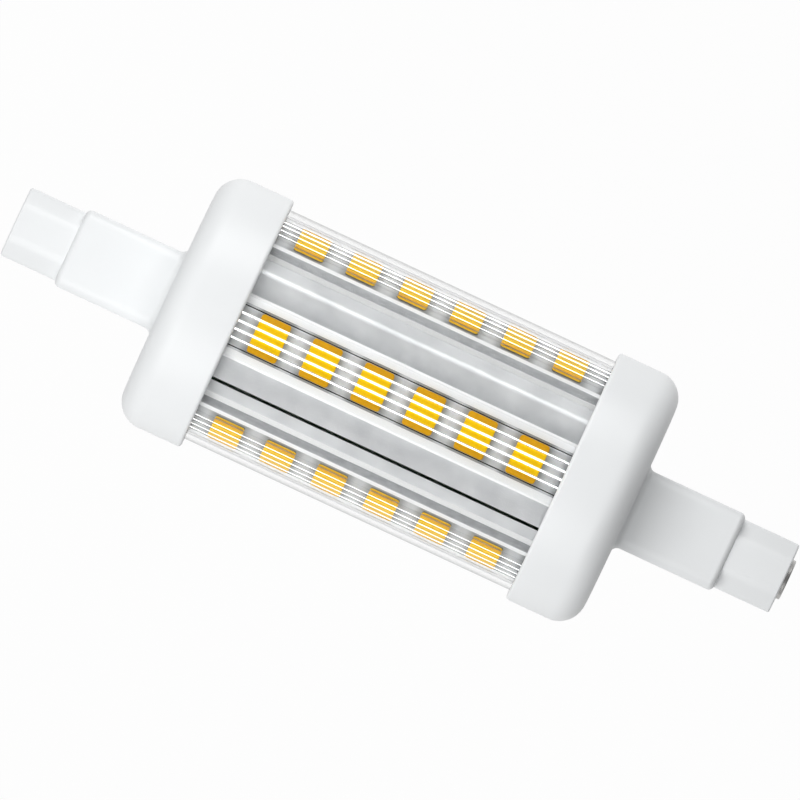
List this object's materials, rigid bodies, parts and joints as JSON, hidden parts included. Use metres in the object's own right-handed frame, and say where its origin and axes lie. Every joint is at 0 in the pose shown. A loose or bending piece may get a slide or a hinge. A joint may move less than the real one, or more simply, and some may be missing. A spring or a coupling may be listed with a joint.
{
  "type": "linear led bulb",
  "caption": "Double-ended linear LED bulb: clear ribbed tube over LED rows on a folded metal sleeve, between white caps with square necks and contact bases.",
  "frame": {"origin": "middle of the lamp on its axis, halfway between the end faces of the two base blocks", "axes": "+X along the lamp towards the base whose contact stands proud, +Z out through the first LED row, +Y square to both, away from the sleeve's seam"},
  "size_m": [0.0784, 0.025, 0.025],
  "materials": {
    "white_plastic": "satin moulded",
    "clear_plastic": "clear, polished",
    "sheet_aluminium": "rolled sheet",
    "white_board": "aluminium core under white solder mask",
    "led_phosphor": "yellow phosphor in silicone",
    "contact_plating": "nickel plated",
    "circuit_board": "green solder mask",
    "thermal_silicone": "white silicone pad",
    "fuse_ceramic": "glazed ceramic with plated ends",
    "chip_mould": "moulded epoxy",
    "capacitor_sleeve": "shrunk sleeve",
    "ferrite": "moulded iron powder",
    "lead_wire": "tinned wire"
  },
  "bodies": {
    "root": {"bridge_rectifier": "chip_mould", "bulk_capacitor": "capacitor_sleeve", "choke": "ferrite", "clear_cover": "clear_plastic", "contact_left": "contact_plating", "contact_right": "contact_plating", "driver_board": "circuit_board", "driver_ic": "chip_mould", "end_board_left": "circuit_board", "end_board_right": "circuit_board", "end_caps": "white_plastic", "fuse": "fuse_ceramic", "heat_sink": "sheet_aluminium", "lead_left": "lead_wire", "lead_right": "lead_wire", "led_1_1": "led_phosphor", "led_1_2": "led_phosphor", "led_1_3": "led_phosphor", "led_1_4": "led_phosphor", "led_1_5": "led_phosphor", "led_1_6": "led_phosphor", "led_2_1": "led_phosphor", "led_2_2": "led_phosphor", "led_2_3": "led_phosphor", "led_2_4": "led_phosphor", "led_2_5": "led_phosphor", "led_2_6": "led_phosphor", "led_3_1": "led_phosphor", "led_3_2": "led_phosphor", "led_3_3": "led_phosphor", "led_3_4": "led_phosphor", "led_3_5": "led_phosphor", "led_3_6": "led_phosphor", "led_4_1": "led_phosphor", "led_4_2": "led_phosphor", "led_4_3": "led_phosphor", "led_4_4": "led_phosphor", "led_4_5": "led_phosphor", "led_4_6": "led_phosphor", "led_5_1": "led_phosphor", "led_5_2": "led_phosphor", "led_5_3": "led_phosphor", "led_5_4": "led_phosphor", "led_5_5": "led_phosphor", "led_5_6": "led_phosphor", "led_6_1": "led_phosphor", "led_6_2": "led_phosphor", "led_6_3": "led_phosphor", "led_6_4": "led_phosphor", "led_6_5": "led_phosphor", "led_6_6": "led_phosphor", "led_board_1": "white_board", "led_board_2": "white_board", "led_board_3": "white_board", "led_board_4": "white_board", "led_board_5": "white_board", "led_board_6": "white_board", "thermal_pads": "thermal_silicone"}
  },
  "joints": []
}
